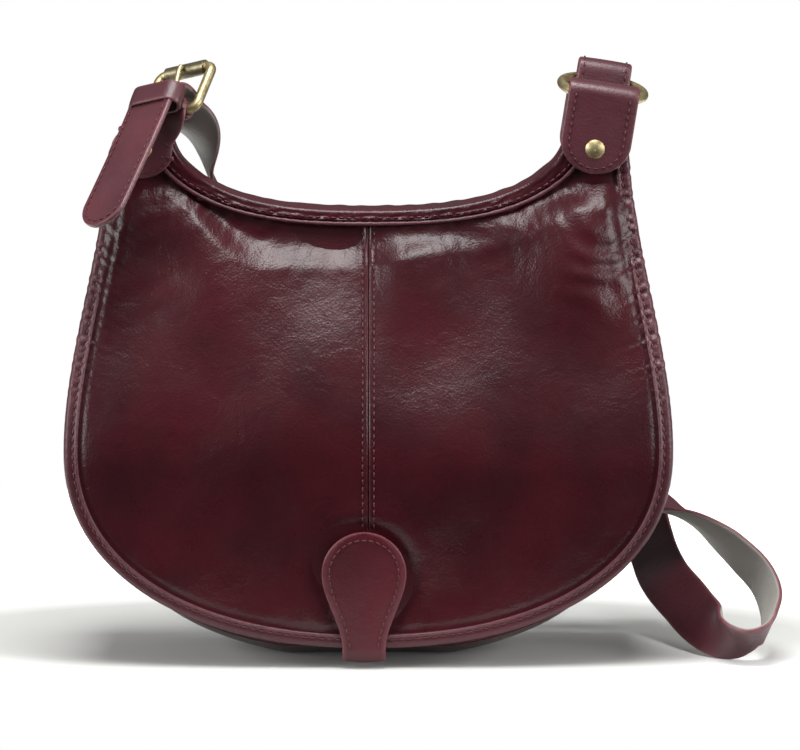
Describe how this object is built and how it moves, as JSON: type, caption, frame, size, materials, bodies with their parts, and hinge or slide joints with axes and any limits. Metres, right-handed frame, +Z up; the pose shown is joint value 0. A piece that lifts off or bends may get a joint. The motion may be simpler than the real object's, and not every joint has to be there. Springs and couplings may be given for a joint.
{
  "type": "crossbody bag",
  "caption": "Saddle-shaped leather crossbody bag with a full front flap, closing tab, buckle, ring and long shoulder strap",
  "frame": {"origin": "Middle of the flat base, on the table.", "axes": "+X to the right as seen from the front (towards the ring), +Y towards the back, +Z up. The flap faces -Y."},
  "size_m": [0.3319, 0.1492, 0.2781],
  "materials": {
    "leather": "waxed, smooth oxblood cowhide with a soft sheen",
    "binding": "thin gathered leather binding and piping in the same oxblood",
    "lining": "plain woven cotton lining",
    "antique_brass": "antique brass plate over a cast zinc or steel core, satin",
    "magnet": "nickel-plated ring magnet"
  },
  "bodies": {
    "bag": {"back_panel": "leather", "gusset": "leather", "front_panel": "leather", "flap_head": "leather", "top_strip": "leather", "front_piping": "binding", "back_binding": "binding", "horn_binding": "binding", "lining_front": "lining", "lining_back": "lining", "lining_side": "lining", "chape_left": "leather", "chape_right": "leather", "rivet_caps": "antique_brass", "rivet_posts": "antique_brass", "keeper": "leather", "strap_end_loop": "leather", "shoulder_strap": "leather", "snap_socket": "antique_brass", "snap_magnet": "magnet", "socket_washer": "antique_brass"},
    "flap": {"flap_panel_left": "leather", "flap_panel_right": "leather", "flap_lining": "lining", "flap_binding": "binding", "closing_tab": "leather", "snap_stud": "antique_brass", "stud_washer": "antique_brass"},
    "buckle": {"buckle_frame": "antique_brass"},
    "roller": {"buckle_roller": "antique_brass"},
    "prong": {"buckle_prong": "antique_brass"},
    "ring": {"strap_ring": "antique_brass"}
  },
  "joints": [
    {"name": "flap_swing", "type": "hinge", "parent": "bag", "child": "flap", "pos_m": [0, -0.0157, 0.1985], "axis": [-1, 0, 0], "range_deg": [0, 70]},
    {"name": "buckle_swing", "type": "hinge", "parent": "bag", "child": "buckle", "pos_m": [-0.092, -0.006, 0.252], "axis": [0.7982, -0.5589, 0.225], "range_deg": [-30, 0]},
    {"name": "prong_swing", "type": "hinge", "parent": "bag", "child": "prong", "pos_m": [-0.092, -0.006, 0.252], "axis": [0.7982, -0.5589, 0.225], "range_deg": [0, 6]},
    {"name": "roller_spin", "type": "hinge", "parent": "buckle", "child": "roller", "pos_m": [-0.08432, 0.01233, 0.27028], "axis": [0.7982, -0.5589, 0.225], "continuous": true},
    {"name": "ring_spin", "type": "hinge", "parent": "bag", "child": "ring", "pos_m": [0.10865, 0.01235, 0.26221], "axis": [0.1543, -0.165, 0.9741], "continuous": true}
  ]
}
